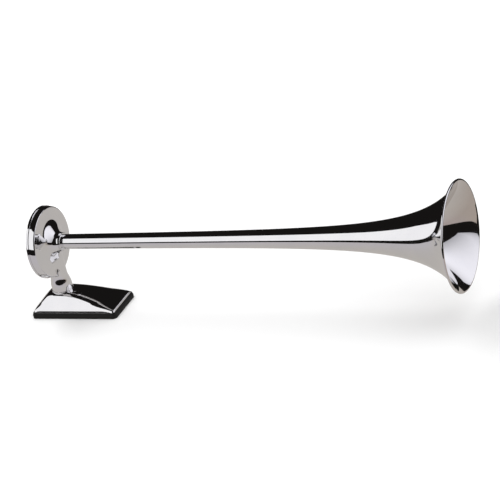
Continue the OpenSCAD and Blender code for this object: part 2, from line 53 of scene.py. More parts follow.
class Tree:
    """A material's node tree with short calls for the nodes used here."""

    def __init__(self, name):
        self.material = bpy.data.materials.new(name)
        self.material.use_nodes = True
        self.nodes = self.material.node_tree.nodes
        self.links = self.material.node_tree.links
        self.nodes.clear()
        self.out = self.nodes.new("ShaderNodeOutputMaterial")

    def add(self, kind, inputs=None, **settings):
        """New node with its settings made and its inputs set or linked."""
        node = self.nodes.new("ShaderNode" + kind)
        for key, value in settings.items():
            setattr(node, key, value)
        for key, value in (inputs or {}).items():
            if isinstance(value, bpy.types.NodeSocket):
                self.links.new(value, node.inputs[key])
            else:
                node.inputs[key].default_value = value
        return node

    def coords(self):
        return self.add("TexCoord").outputs["Object"]

    def stretch(self, coords, scale):
        return self.add("Mapping", {"Vector": coords, "Scale": scale}).outputs["Vector"]

    def noise(self, coords, scale, detail, roughness=0.5):
        inputs = {"Vector": coords, "Scale": scale, "Detail": detail, "Roughness": roughness}
        return self.add("TexNoise", inputs).outputs["Fac"]

    def remap(self, value, source, target=(0.0, 1.0)):
        """Value moved from one range to another."""
        inputs = {"Value": value, "From Min": source[0], "From Max": source[1],
                  "To Min": target[0], "To Max": target[1]}
        return self.add("MapRange", inputs).outputs["Result"]

    def ramp(self, fac, stops):
        """Colour between stops, each a position and a colour."""
        node = self.add("ValToRGB", {"Fac": fac})
        elements = node.color_ramp.elements
        while len(elements) < len(stops):
            elements.new(0.5)
        for element, (position, colour) in zip(elements, stops):
            element.position = position
            element.color = (*colour, 1)
        return node.outputs["Color"]

    def bump(self, height, strength, distance):
        inputs = {"Strength": strength, "Distance": distance, "Height": height}
        return self.add("Bump", inputs).outputs["Normal"]

    def surface(self, shader, inputs):
        """The material, with a shader as its surface."""
        self.links.new(self.add(shader, inputs).outputs[0], self.out.inputs["Surface"])
        return self.material


def chrome():
    """Polished chrome plate: faint waviness, rubbed haze and fine wipe marks."""
    tree = Tree("chrome_plate")
    coords = tree.coords()
    haze = tree.noise(coords, scale=34.0, detail=5.0, roughness=0.6)
    wipes = tree.noise(tree.stretch(coords, (30.0, 420.0, 420.0)), scale=2.0, detail=2.0)
    wear = tree.add("Math", {0: haze, 1: wipes}, operation="MULTIPLY").outputs[0]
    wave = tree.noise(coords, scale=22.0, detail=1.0)
    return tree.surface("BsdfPrincipled", {
        "Base Color": tree.ramp(haze, [(0.3, (0.80, 0.80, 0.805)), (0.7, (0.845, 0.84, 0.835))]),
        "Metallic": 1.0,
        "Roughness": tree.remap(wear, (0.12, 0.42), (0.025, 0.075)),
        "Normal": tree.bump(wave, strength=0.05, distance=0.0004),
    })


def rubber():
    """Moulded black rubber with fine grain, and bloom and dust in patches."""
    tree = Tree("black_rubber")
    coords = tree.coords()
    patches = tree.noise(coords, scale=45.0, detail=4.0, roughness=0.6)
    grain = tree.noise(coords, scale=2600.0, detail=2.0)
    return tree.surface("BsdfPrincipled", {
        "Base Color": tree.ramp(patches, [(0.35, (0.004, 0.004, 0.0035)), (0.75, (0.009, 0.008, 0.007))]),
        "Roughness": tree.remap(patches, (0.3, 0.7), (0.42, 0.6)),
        "Specular IOR Level": 0.2,
        "Normal": tree.bump(grain, strength=0.25, distance=0.0001),
    })


def turned_metal(name, dark, light, roughness):
    """Turned or drawn metal: fine tool marks round the axis and uneven tarnish."""
    tree = Tree(name)
    coords = tree.coords()
    marks = tree.noise(tree.stretch(coords, (900.0, 40.0, 40.0)), scale=6.0, detail=2.0)
    tarnish = tree.noise(coords, scale=130.0, detail=4.0, roughness=0.6)
    return tree.surface("BsdfPrincipled", {
        "Base Color": tree.ramp(tarnish, [(0.3, dark), (0.7, light)]),
        "Metallic": 1.0,
        "Roughness": tree.remap(tarnish, (0.3, 0.7), roughness),
        "Normal": tree.bump(marks, strength=0.2, distance=0.00005),
    })


CHROME = chrome()
RUBBER = rubber()
STEEL = turned_metal("stainless_steel", (0.50, 0.50, 0.51), (0.62, 0.62, 0.63), (0.18, 0.32))
BRASS = turned_metal("brass", (0.62, 0.46, 0.20), (0.80, 0.63, 0.32), (0.2, 0.35))


def dress(obj, material):
    obj.data.materials.clear()
    obj.data.materials.append(material)


for node_names, finish in ((CHROME_NODES, CHROME), (RUBBER_NODES, RUBBER), (STEEL_NODES, STEEL),
                           (BRASS_NODES, BRASS)):
    for node_name in node_names:
        dress(NODES[node_name], finish)

# Sizes that the smooth pieces share with the solids, in millimetres

FIT = 0.02
AXIS_Z = 91.6
COLUMN_X = -21.6

# Drum and neck
DRUM_DEPTH = 8.2
DRUM_DRAFT = 1.0
FACE_X = -17.15
FACE_R = 42.5
FACE_WALL = 3.0
FLANGE_X = FACE_X - DRUM_DEPTH
SWEEP_R = 31.0
SWEEP_LEN = 13.6
KNEE_R = 9.0
NECK_R = 11.4
NECK_WALL = 1.1
COLLAR_LEN = 1.2
NECK_END_X = FACE_X + SWEEP_LEN + COLLAR_LEN
HUB_R = 11.5
HUB_SETBACK = 1.2
CHAMBER_R = 30.4
CLAMP_LAND = 3.5
NOZZLE_R = 7.5

# Back cover and its screws
COVER_OVERHANG = 0.8
COVER_R = FACE_R + DRUM_DRAFT + COVER_OVERHANG
COVER_RIM = 3.3
COVER_EDGE_R = 1.5
COVER_RECESS = 2.2
DOME_R = 33.6
DOME_RISE = 4.4
DOME_WALL = 2.2
SCREWS = 6
SCREW_R = 2.0
SCREW_RING_R = 37.5
SCREW_DEPTH = 6.6
SCREW_PLAY = 0.2

# Ferrule
FERRULE_SEAT_R = NECK_R - NECK_WALL
FERRULE_R = FERRULE_SEAT_R - FIT
FERRULE_WALL = 1.2
FERRULE_BORE_R = FERRULE_R - FERRULE_WALL
FERRULE_LEN = 10.0
FERRULE_END_X = NECK_END_X - FERRULE_LEN
FERRULE_FLANGE = 1.2
FERRULE_STEP = 0.3
FERRULE_EDGE_R = 0.45
SEAL_D = 1.2

# Base and its gasket
PAD_FLOOR = 4.0
PAD_LIP_H = 3.0
BASE_BAND = 2.0
BASE_HALF_L = 55.8
BASE_HALF_W = 26.05
BASE_WALL = 3.5
CORNER_R = 3.0
LIP_TOP_Z = PAD_FLOOR + PAD_LIP_H
BAND_Z = LIP_TOP_Z + BASE_BAND
BOSS_Z = 28.0
BOSS_R = 13.2
BOSS_RISE = 0.6
CROWN_Z = BOSS_Z - BOSS_RISE
CROWN_HALF_W = 13.8
CROWN_BACK = 15.9
CROWN_FRONT = 24.6
BACK_BULGE = 0.6
FRONT_BULGE = 1.6
SIDE_BULGE = 0.4
HEAD_ROOM_R = 15.0
SEAT_DEPTH = 9.0
HEAD_ROOM_Z = BOSS_Z - SEAT_DEPTH
GROOVE_INNER_R = 8.73
GROOVE_OUTER_R = 10.67
GROOVE_Z = 26.05
RIB_SETBACK = 4.0
RIB_Z = PAD_FLOOR + RIB_SETBACK
RIB_T = 2.4
RIB_SPREAD = 55
STUD_R = 2.5
STUD_DEPTH = 9.5
STUD_BOSS_R = 5.5
REAR_STUD_X = -45.0
FRONT_STUD_X = 35.0

# Column, clamp bolt and air passage
COLUMN_R = 10.5
FOOT_GAP = 0.05
FOOT_Z = BOSS_Z + FOOT_GAP
FOOT_FLARE = 2.3
BOLT_R = 7.0
BOLT_GRIP = 12.0
BOLT_PLAY = 0.08
PLENUM_H = 4.0
PASSAGE_R = 4.0
PASSAGE_WALL = 2.85
PASSAGE_X = FLANGE_X + PASSAGE_WALL + PASSAGE_R

# Trumpet
SHEET = 0.8
TUBE_R = 8.6
MOUTH_R = 63.5
HORN_LEN = 518.6
MOUTH_X = FACE_X + HORN_LEN
FLARE_POWER = 3
FLARE_LEN = 133.8
FLARE_END_R = 61.76
CURL_SWEEP = 280
WIRE_HOLE_R = 0.57
SPIGOT_R = FERRULE_BORE_R - FIT

# Forms that only the smooth pieces have, in millimetres

# An edge, a hip, a blend or a fillet is the width over which one surface is eased into the next
FACE_EDGE = 1.3
SIDE_CROWN = 0.35
SHOULDER_Z = 80
SHOULDER_EDGE = 8
FOOT_FLARE_LOW_Z = 33
FOOT_FLARE_TOP_Z = 48
RIM_BLEND = 3
HUB_BLEND = 13
RIM_BLEND_R = FACE_R + 6
HUB_BLEND_R = FACE_R - 16
HIP_FOOT = 7.0
HIP_TOP = 15.0
HIP_TOP_Z = BAND_Z + 8
CROWN_EDGE = 5
END_EDGE = 1.0
BAND_EDGE = 1.6
BAND_LEAN = 0.24  # how far the band leans inward for each millimetre of height
BOSS_EDGE = 0.6
BOSS_FILLET = 0.8
LIP_ROLL = 1.6
LIP_ROLL_LEN = 4.0


# Fields: each gives the distance outside a form, below zero within it

def arc_radius(chord, bulge):
    """Radius of an arc that stands so high over its chord."""
    return (chord * chord / 4 + bulge * bulge) / (2 * bulge)


def smooth_min(a, b, width):
    """The lesser of two distances, eased into each other where they differ by less than the width."""
    overlap = np.maximum(width - np.abs(a - b), 0) / width
    return np.minimum(a, b) - overlap * overlap * overlap * width / 6


def smooth_max(a, b, width):
    return -smooth_min(-a, -b, width)


def ease(value, start, end):
    """Rises gently from 0 at the start to 1 at the end."""
    share = np.clip((value - start) / (end - start), 0, 1)
    return share * share * (3 - 2 * share)


SWEEP_RISE = SWEEP_R - NECK_R
SWEEP_ARC = (SWEEP_RISE ** 2 + SWEEP_LEN ** 2 - 2 * SWEEP_RISE * KNEE_R) / (2 * (SWEEP_LEN - KNEE_R))


def sweep_gap(r, s):
    """Distance outside the two-arc sweep and the neck, at a radius and a distance in front of the face."""
    wide = SWEEP_ARC - np.hypot(r - SWEEP_R, s - SWEEP_ARC)
    tight = KNEE_R - np.hypot(r - NECK_R - KNEE_R, s - SWEEP_LEN)
    dr, ds = NECK_R + KNEE_R - SWEEP_R, SWEEP_LEN - SWEEP_ARC
    on_wide = dr * (s - SWEEP_ARC) - ds * (r - SWEEP_R) > 0
    past_tight = (r - NECK_R - KNEE_R) * dr + (s - SWEEP_LEN) * ds < 0
    gap = np.where(on_wide | past_tight, wide, tight)
    gap = np.where(s < 0, s, gap)
    return np.where(s > SWEEP_LEN, r - NECK_R, gap)


def housing_field(points):
    """The drum, its sweep and neck, and the column that runs up its face, with hollow blends between them."""
    x, y, z = points.T
    r, s = np.hypot(y, z - AXIS_Z), x - FACE_X
    middle = DRUM_DEPTH / 2
    crown = SIDE_CROWN * (1 - np.clip((s + middle) / middle, -1, 1) ** 2)
    draft = DRUM_DRAFT / DRUM_DEPTH
    side = (r - FACE_R + s * draft - crown) / math.hypot(1, draft)
    drum = smooth_max(side, s, FACE_EDGE)
    turned = np.where(r > SWEEP_R, drum, sweep_gap(r, s))
    column_r = COLUMN_R + FOOT_FLARE * (1 - ease(z, FOOT_FLARE_LOW_Z, FOOT_FLARE_TOP_Z))
    column = smooth_max(np.hypot(x - COLUMN_X, y) - column_r, z - SHOULDER_Z, SHOULDER_EDGE)
    blend = RIM_BLEND + (HUB_BLEND - RIM_BLEND) * ease(r, RIM_BLEND_R, HUB_BLEND_R)
    return smooth_min(turned, column, blend)


def slope_gap(start, end, bulge, across, z):
    """Distance outside a broad arc through two points of a side view, with the body under it."""
    start, end = np.array(start, float), np.array(end, float)
    way = end - start
    chord = np.hypot(*way)
    radius = arc_radius(chord, bulge)
    centre = (start + end) / 2 + np.array([way[1], -way[0]]) / chord * (radius - bulge)
    return np.hypot(across - centre[0], z - centre[1]) - radius


def base_form(points):
    """The hipped pedestal: end slopes, side slopes and a crown with rounded hips, and a leaning band."""
    x, y, z = points.T
    back = slope_gap((-BASE_HALF_L, BAND_Z), (COLUMN_X - CROWN_BACK, CROWN_Z), BACK_BULGE, x, z)
    front = slope_gap((COLUMN_X + CROWN_FRONT, CROWN_Z), (BASE_HALF_L, BAND_Z), FRONT_BULGE, x, z)
    sides = slope_gap((CROWN_HALF_W, CROWN_Z), (BASE_HALF_W, BAND_Z), SIDE_BULGE, np.abs(y), z)
    hip = HIP_FOOT + (HIP_TOP - HIP_FOOT) * ease(z, BAND_Z, HIP_TOP_Z)
    slopes = smooth_max(smooth_max(back, front, END_EDGE), sides, hip)
    slopes = smooth_max(slopes, z - CROWN_Z, CROWN_EDGE)
    over_x = np.abs(x) - BASE_HALF_L + CORNER_R
    over_y = np.abs(y) - BASE_HALF_W + CORNER_R
    beyond = np.hypot(np.maximum(over_x, 0), np.maximum(over_y, 0))
    within = np.minimum(np.maximum(over_x, over_y), 0)
    band = beyond + within - CORNER_R + BAND_LEAN * np.maximum(z - LIP_TOP_Z, 0)
    return smooth_max(slopes, band, BAND_EDGE)


def base_field(points):
    """The pedestal with the boss that carries the column."""
    x, y, z = points.T
    boss = smooth_max(np.hypot(x - COLUMN_X, y) - BOSS_R, z - BOSS_Z, BOSS_EDGE)
    return smooth_min(base_form(points), boss, BOSS_FILLET)


def base_room(points):
    """The pedestal's cavity, one wall inside its form."""
    return base_form(points) + BASE_WALL


# Meshes from fields

SLOPE_STEP = 0.01  # how far to each side a slope is measured, in millimetres
LEAST_SLOPE = 0.04  # floor of a squared slope, so that no step grows too long
EVEN_ROUNDS = 5
EVEN_PULL = 0.5  # share of the way to the neighbours' middle in one round
ON_SURFACE = 0.03  # distance at which a corner counts as on the surface, in millimetres
SAME_WAY = 0.6  # least cosine between a face's own normal and the field's slope


def unit(rows):
    """Rows of an array at length 1."""
    return rows / np.maximum(np.linalg.norm(rows, axis=1), 1e-9)[:, None]


def slope_of(field, points):
    out = np.empty_like(points)
    for axis in range(3):
        step = np.zeros(3)
        step[axis] = SLOPE_STEP
        out[:, axis] = (field(points + step) - field(points - step)) / (2 * SLOPE_STEP)
    return out


def settle(field, points, rounds):
    """Moves points along the field's slope onto its zero surface."""
    for _ in range(rounds):
        slope = slope_of(field, points)
        steepness = np.maximum((slope * slope).sum(1), LEAST_SLOPE)
        points = points - slope * (field(points) / steepness)[:, None]
    return points


def net_points(value, grid, step):
    """A point in each cell that the zero surface crosses, at its crossings' mean, and the cells' numbers."""
    cells = np.array(value.shape) - 1
    total = np.zeros((*cells, 3))
    hits = np.zeros(cells)
    for axis in range(3):
        others = [other for other in range(3) if other != axis]
        first, last = [slice(None)] * 3, [slice(None)] * 3
        first[axis], last[axis] = slice(None, -1), slice(1, None)
        start, end = value[tuple(first)], value[tuple(last)]
        cross = (start < 0) != (end < 0)
        at = grid[tuple(first)].copy()
        at[..., axis] += step * np.where(cross, start / np.where(cross, start - end, 1), 0)
        at *= cross[..., None]
        for i in (0, 1):
            for j in (0, 1):
                part = [slice(None)] * 3
                part[others[0]] = slice(1 - i, value.shape[others[0]] - i)
                part[others[1]] = slice(1 - j, value.shape[others[1]] - j)
                total += at[tuple(part)]
                hits += cross[tuple(part)]
    used = hits > 0
    number = np.full(used.shape, -1)
    number[used] = np.arange(used.sum())
    return total[used] / hits[used][:, None], number


def net_faces(inside, number):
    """A quad round each grid line that the surface crosses, with its front outside."""
    faces = []
    for axis in range(3):
        b, c = (axis + 1) % 3, (axis + 2) % 3
        first, last = [slice(1, -1)] * 3, [slice(1, -1)] * 3
        first[axis], last[axis] = slice(None, -1), slice(1, None)
        here, there = inside[tuple(first)], inside[tuple(last)]
        for flips, turned in ((here & ~there, False), (there & ~here, True)):
            at = np.argwhere(flips)
            at[:, [b, c]] += 1
            corners = []
            for back_b, back_c in ((1, 1), (0, 1), (0, 0), (1, 0)):
                cell = at.copy()
                cell[:, b] -= back_b
                cell[:, c] -= back_c
                corners.append(number[tuple(cell.T)])
            quads = np.stack(corners, 1)
            faces.append(quads[:, ::-1] if turned else quads)
    return np.concatenate(faces)


def even_out(field, points, faces):
    """Slides a net's points toward the middle of their neighbours, on the surface."""
    ends = np.concatenate([faces[:, [i, (i + 1) % 4]] for i in range(4)])
    near = np.bincount(ends[:, 0], minlength=len(points))
    for _ in range(EVEN_ROUNDS):
        sums = [np.bincount(ends[:, 0], points[ends[:, 1], axis], len(points)) for axis in range(3)]
        moved = EVEN_PULL * (np.stack(sums, 1) / near[:, None] - points)
        normal = unit(slope_of(field, points))
        moved -= (moved * normal).sum(1)[:, None] * normal
        points = settle(field, points + moved, rounds=1)
    return points


def surface_net(field, box, step):
    """Points and quads over a field's zero surface within a box."""
    low, high = np.array(box, float)
    count = np.ceil((high - low) / step).astype(int) + 1
    lines = [low[axis] + step * np.arange(count[axis]) for axis in range(3)]
    grid = np.stack(np.meshgrid(*lines, indexing="ij"), -1)
    value = field(grid.reshape(-1, 3)).reshape(count)
    points, number = net_points(value, grid, step)
    faces = net_faces(value < 0, number)
    points = even_out(field, settle(field, points, rounds=3), faces)
    return settle(field, points, rounds=2), faces


# Meshes for the pieces, and in how many steps each goes round

BELL_STEPS = 256
DRUM_STEPS = 192
FERRULE_STEPS = 128
BORE_STEPS = 96
SMALL_BORE_STEPS = 48
SCREW_STEPS = 32


def mesh_object(name, verts, faces, smooth=True):
    mesh = bpy.data.meshes.new(name)
    mesh.from_pydata([tuple(vert) for vert in verts], [], [tuple(face) for face in faces])
    mesh.validate()
    if smooth:
        mesh.polygons.foreach_set("use_smooth", [True] * len(mesh.polygons))
    mesh.update()
    obj = bpy.data.objects.new(name, mesh)
    bpy.context.scene.collection.objects.link(obj)
    return obj


def turn_outward(obj):
    """Makes every face look outward."""
    bm = bmesh.new()
    bm.from_mesh(obj.data)
    bmesh.ops.recalc_face_normals(bm, faces=bm.faces)
    bm.to_mesh(obj.data)
    bm.free()


def lathe(name, section, steps, place):
    """Turned mesh in metres from a closed section in millimetres, rows of radius and height, then placed."""
    verts, rings, faces = [], [], []
    for radius, height in section:
        if radius == 0:
            rings.append([len(verts)] * steps)
            verts.append((0, 0, height))
        else:
            rings.append(list(range(len(verts), len(verts) + steps)))
            for i in range(steps):
                angle = 2 * math.pi * i / steps
                verts.append((radius * math.cos(angle), radius * math.sin(angle), height))
    for ring, after in zip(rings, rings[1:] + rings[:1]):
        for i in range(steps):
            j = (i + 1) % steps
            corners = list(dict.fromkeys((ring[i], ring[j], after[j], after[i])))
            if len(corners) > 2:
                faces.append(corners)
    obj = mesh_object(name, verts, faces)
    obj.data.transform(Matrix.Scale(MM, 4) @ place)
    turn_outward(obj)
    return obj


def rounded_edge(r, height, radius, steps):
    """Quarter of a circle round a centre in a section, from outward to upward."""
    angles = [math.pi / 2 * i / steps for i in range(steps + 1)]
    return [(r + radius * math.cos(angle), height + radius * math.sin(angle)) for angle in angles]


def cap(top, radius, radii):
    """Points of a section on a ball whose top is at a height."""
    return [(r, top - radius + math.sqrt(radius ** 2 - r * r)) for r in radii]


def on_axis():
    """Place of a turned mesh on the horn's axis, with its height as X."""
    return Matrix.Translation((0, 0, AXIS_Z)) @ Matrix.Rotation(math.pi / 2, 4, "Y")


def upright(x):
    return Matrix.Translation((x, 0, 0))


def screw_places():
    """Places of the cover screws, along the horn's axis."""
    for i in range(SCREWS):
        angle = (i + 0.5) * 2 * math.pi / SCREWS
        y, z = SCREW_RING_R * math.sin(angle), -SCREW_RING_R * math.cos(angle)
        yield Matrix.Translation((0, y, z)) @ on_axis()


# Cutting shapes. Where one opens a face, it runs PAST millimetres beyond it

PAST = 1.0


def sleeve(inner, outer, low, high, place, steps=BORE_STEPS):
    return lathe("cutter", [(inner, low), (outer, low), (outer, high), (inner, high)], steps, place)


def rod(radius, low, high, place, steps=BORE_STEPS):
    return sleeve(0, radius, low, high, place, steps)


def slab(length, low, high, thick, place):
    """A rib's own form, from the place's origin along its X."""
    half = thick / 2
    corners = [(x, y, z) for x in (0, length) for y in (-half, half) for z in (low, high)]
    faces = [(0, 1, 3, 2), (4, 6, 7, 5), (0, 4, 5, 1), (2, 3, 7, 6), (0, 2, 6, 4), (1, 5, 7, 3)]
    obj = mesh_object("cutter", corners, faces, smooth=False)
    obj.data.transform(Matrix.Scale(MM, 4) @ place)
    turn_outward(obj)
    return obj


def trim(obj, cuts):
    """Cuts a mesh at planes, in millimetres, drops what lies outside and closes the cut."""
    bm = bmesh.new()
    bm.from_mesh(obj.data)
    for point, normal in cuts:
        geom = bm.verts[:] + bm.edges[:] + bm.faces[:]
        cut = bmesh.ops.bisect_plane(bm, geom=geom, plane_co=Vector(point) * MM, plane_no=normal,
                                     clear_outer=True, dist=1e-7)
        edges = [item for item in cut["geom_cut"] if isinstance(item, bmesh.types.BMEdge)]
        bmesh.ops.holes_fill(bm, edges=edges, sides=0)
    bm.to_mesh(obj.data)
    bm.free()


def carve(obj, cutters):
    """Takes cutting shapes out of a mesh."""
    for cutter in cutters:
        modifier = obj.modifiers.new("cut", "BOOLEAN")
        modifier.operation = "DIFFERENCE"
        modifier.solver = "EXACT"
        modifier.object = cutter
    bpy.context.view_layer.update()
    mesh = bpy.data.meshes.new_from_object(obj.evaluated_get(bpy.context.evaluated_depsgraph_get()))
    obj.modifiers.clear()
    obj.data = mesh
    for cutter in cutters:
        bpy.data.objects.remove(cutter)


# Shading

SHARP_ANGLE = 30


def shade_by_angle(obj):
    """Smooth shading, with edges over the sharp angle left crisp."""
    obj.data.polygons.foreach_set("use_smooth", [True] * len(obj.data.polygons))
    obj.data.set_sharp_from_angle(angle=math.radians(SHARP_ANGLE))


def values_of(items, name, kind=float, width=1):
    """One value or row for every vertex, face or corner of a mesh."""
    values = np.empty(len(items) * width, kind)
    items.foreach_get(name, values)
    return values.reshape(-1, width) if width > 1 else values


def shade_by_field(obj, field):
    """Gives corners on the field's surface its own slope as their normal, and leaves the cuts crisp."""
    shade_by_angle(obj)
    mesh = obj.data
    points = values_of(mesh.vertices, "co", width=3) / MM
    slope = unit(slope_of(field, points))
    near = np.abs(field(points)) < ON_SURFACE
    flat = values_of(mesh.polygons, "normal", width=3)
    normals = values_of(mesh.corner_normals, "vector", width=3)
    vertex = values_of(mesh.loops, "vertex_index", int)
    sizes = values_of(mesh.polygons, "loop_total", int)
    owner = np.repeat(np.arange(len(sizes)), sizes)
    whole_face = np.bincount(owner, near[vertex], len(sizes)) > sizes - 0.5
    agree = (slope[vertex] * flat[owner]).sum(1) > SAME_WAY
    take = whole_face[owner] & agree
    normals[take] = slope[vertex][take]
    mesh.normals_split_custom_set(normals.tolist())


def stands_for(obj, name, body, slot, material, *nodes):
    """Names and dresses a piece and gives it the place of the solids that it shows."""
    obj.name = name
    dress(obj, material)
    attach(obj, body)
    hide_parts(*nodes)


# Drum housing and column

# A casting's box holds its surface, from a low corner to a high one
NET_STEP = 0.8
HOUSING_BOX = ((-36, -46, 25), (0, 46, 138))
OPEN_BACK_X = -35


def front_housing():
    points, faces = surface_net(housing_field, HOUSING_BOX, NET_STEP)
    obj = mesh_object("housing", points * MM, faces)
    trim(obj, [((NECK_END_X, 0, 0), (1, 0, 0)),
               ((0, 0, FOOT_Z), (0, 0, -1)),
               ((OPEN_BACK_X, 0, 0), (-1, 0, 0))])
    hub_x = FLANGE_X + HUB_SETBACK
    plenum_z = FOOT_Z + BOLT_GRIP
    cutters = [
        rod(COVER_R + PAST, OPEN_BACK_X - PAST, FLANGE_X, on_axis(), DRUM_STEPS),
        sleeve(HUB_R, CHAMBER_R, hub_x, FACE_X - FACE_WALL, on_axis()),
        rod(CHAMBER_R, FLANGE_X - PAST, hub_x, on_axis()),
        rod(NOZZLE_R + FIT, FLANGE_X, NECK_END_X - PAST, on_axis()),
        rod(FERRULE_SEAT_R, FERRULE_END_X - SEAL_D, NECK_END_X + PAST, on_axis()),
        rod(BOLT_R + FIT, FOOT_Z - PAST, plenum_z + PLENUM_H, upright(COLUMN_X)),
        rod(PASSAGE_R, plenum_z, AXIS_Z - CHAMBER_R + PASSAGE_R, upright(PASSAGE_X), SMALL_BORE_STEPS),
    ]
    for place in screw_places():
        cutters.append(rod(SCREW_R + FIT, FLANGE_X - PAST, FLANGE_X + SCREW_DEPTH, place, SCREW_STEPS))
    carve(obj, cutters)
    shade_by_field(obj, housing_field)
    stands_for(obj, "housing_casting", "horn", "chrome_plate", CHROME, "front_housing")


front_housing()


# Base casting

BASE_BOX = ((-58, -28, 2), (58, 28, 30))
ROOM_BOX = ((-56, -27, 1), (56, 27, 27))
ROOM_NET_STEP = 2 * NET_STEP
BELOW_Z = PAD_FLOOR - PAST
ABOVE_Z = BOSS_Z + 2 * PAST


def cavity():
    """The room under the pedestal's wall, in which the stud bosses, the ribs and the column's boss stay."""
    points, faces = surface_net(base_room, ROOM_BOX, ROOM_NET_STEP)
    obj = mesh_object("cavity", points * MM, faces)
    trim(obj, [((0, 0, BELOW_Z), (0, 0, -1))])
    kept = [slab(FRONT_STUD_X - COLUMN_X, RIB_Z, ABOVE_Z, RIB_T, upright(COLUMN_X))]
    for side in (-1, 1):
        turn = Matrix.Rotation(math.radians(RIB_SPREAD * side), 4, "Z")
        kept.append(slab(BASE_HALF_W, RIB_Z, ABOVE_Z, RIB_T, upright(FRONT_STUD_X) @ turn))
    for x in (REAR_STUD_X, FRONT_STUD_X):
        kept.append(rod(STUD_BOSS_R, BELOW_Z - PAST, ABOVE_Z, upright(x), SMALL_BORE_STEPS))
    kept.append(rod(BOSS_R, HEAD_ROOM_Z - PAST, ABOVE_Z, upright(COLUMN_X)))
    carve(obj, kept)
    return obj


def base_casting():
    points, faces = surface_net(base_field, BASE_BOX, NET_STEP)
    obj = mesh_object("base", points * MM, faces)
    trim(obj, [((0, 0, PAD_FLOOR), (0, 0, -1))])
    cutters = [
        cavity(),
        rod(HEAD_ROOM_R, BELOW_Z, HEAD_ROOM_Z, upright(COLUMN_X)),
        rod(BOLT_R + BOLT_PLAY, HEAD_ROOM_Z - PAST, BOSS_Z + PAST, upright(COLUMN_X)),
        sleeve(GROOVE_INNER_R, GROOVE_OUTER_R, GROOVE_Z, BOSS_Z + PAST, upright(COLUMN_X)),
    ]
    for x in (REAR_STUD_X, FRONT_STUD_X):
        cutters.append(rod(STUD_R, BELOW_Z, PAD_FLOOR + STUD_DEPTH, upright(x), SCREW_STEPS))
    carve(obj, cutters)
    shade_by_field(obj, base_field)
    stands_for(obj, "pedestal_casting", "base", "chrome_plate", CHROME, "base_casting")


base_casting()


# Trumpet

# How far the rim stays in, because the solids' box ends at facets, which lie inside their circles
RIM_INSET_X = 0.002
RIM_INSET_R = 0.004
BEAD_X = MOUTH_X - SHEET - WIRE_HOLE_R - RIM_INSET_X
BEAD_MID_R = MOUTH_R - SHEET - WIRE_HOLE_R - RIM_INSET_R
BODY_RISE = FLARE_END_R - TUBE_R - LIP_ROLL
CURL_POINTS = 41
FLARE_POINTS = 121
FLARE_CROWDING = 2.4  # power that brings the flare's points together toward the lip
SPIGOT_EASING = 4  # power that keeps the widening to the spigot near the tube's end


def flare(s):
    """Outer radius and slope at a distance behind the lip."""
    reach = 1 + s / FLARE_LEN
    roll = LIP_ROLL * np.exp(-s / LIP_ROLL_LEN)
    slope = FLARE_POWER * BODY_RISE / FLARE_LEN * reach ** -(FLARE_POWER + 1) + roll / LIP_ROLL_LEN
    return TUBE_R + BODY_RISE * reach ** -FLARE_POWER + roll, np.arctan(slope)


def trumpet():
    """Spun sheet of one thickness: the curl round the wire, the flare, the tube and the ferrule's spigot."""
    mouth_r, lip = [float(value) for value in flare(0.0)]
    lip_x = BEAD_X + WIRE_HOLE_R * math.sin(lip)
    lip_r = BEAD_MID_R - WIRE_HOLE_R * math.cos(lip)
    turns = np.linspace(math.pi - lip, math.pi - lip - math.radians(CURL_SWEEP), CURL_POINTS)
    curl = [[(BEAD_MID_R + radius * math.cos(turn), BEAD_X + radius * math.sin(turn)) for turn in turns]
            for radius in (WIRE_HOLE_R + SHEET, WIRE_HOLE_R)]
    length = lip_x - NECK_END_X
    s = length * np.linspace(0, 1, FLARE_POINTS)[1:-1] ** FLARE_CROWDING
    r, slope = flare(s)
    r = np.maximum(r + lip_r - mouth_r, TUBE_R)
    r += (SPIGOT_R - r[-1]) * (s / length) ** SPIGOT_EASING
    outer = list(zip(r, lip_x - s))
    inner = list(zip(r - SHEET * np.cos(slope), lip_x - s + SHEET * np.sin(slope)))
    bore_r = SPIGOT_R - SHEET
    spigot = [(SPIGOT_R, NECK_END_X), (SPIGOT_R, FERRULE_END_X),
              (bore_r, FERRULE_END_X), (bore_r, NECK_END_X)]
    section = curl[0] + curl[1][::-1] + outer + spigot + inner[::-1]
    obj = lathe("trumpet", section, BELL_STEPS, on_axis())
    shade_by_angle(obj)
    stands_for(obj, "spun_trumpet", "horn", "chrome_plate", CHROME, "trumpet")


trumpet()


# Back cover and ferrule

DOME_POINTS = 32
COVER_EDGE_POINTS = 16
FERRULE_EDGE_POINTS = 8


